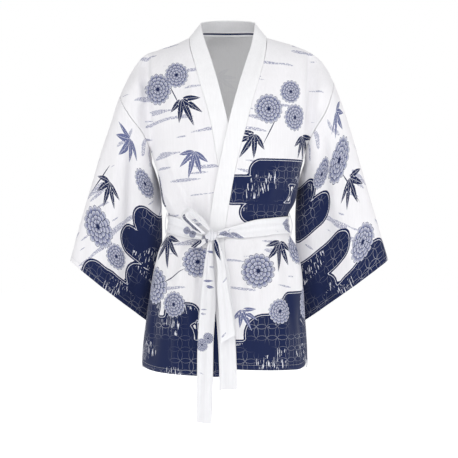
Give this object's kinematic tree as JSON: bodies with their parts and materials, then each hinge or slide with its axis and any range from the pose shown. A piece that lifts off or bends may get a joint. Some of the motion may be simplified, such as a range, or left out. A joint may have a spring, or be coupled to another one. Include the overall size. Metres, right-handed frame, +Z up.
{
  "type": "kimono jacket",
  "caption": "Short wrap kimono jacket with wide open sleeves, a plain neck band and a tie belt in a bow.",
  "frame": {"origin": "on the centre line, in the plane of the shoulder seams, at the level of the shoulders' high points beside the neck: where the wearer's neck base holds the garment", "axes": "+Z up, the wearer faces -Y, the wearer's left is +X"},
  "size_m": [0.7369, 0.2869, 0.9151],
  "materials": {
    "printed_cotton": "matt woven cotton, white with navy print",
    "white_cotton": "matt woven cotton, plain white",
    "belt_cotton": "matt woven cotton, white with small navy print",
    "white_thread": "twisted cotton thread"
  },
  "bodies": {
    "root": {"back": "printed_cotton", "front_right": "printed_cotton", "front_left": "printed_cotton", "sleeve_right": "printed_cotton", "sleeve_left": "printed_cotton", "band_right": "white_cotton", "band_left": "white_cotton", "band_back": "white_cotton", "neck_tape": "white_cotton", "belt_waist": "belt_cotton", "belt_knot": "belt_cotton", "bow_loop_upper": "belt_cotton", "bow_loop_lower": "belt_cotton", "bow_flap": "belt_cotton", "tail_long": "belt_cotton", "tail_short": "belt_cotton", "carrier_right": "white_thread", "carrier_left": "white_thread"}
  },
  "joints": []
}
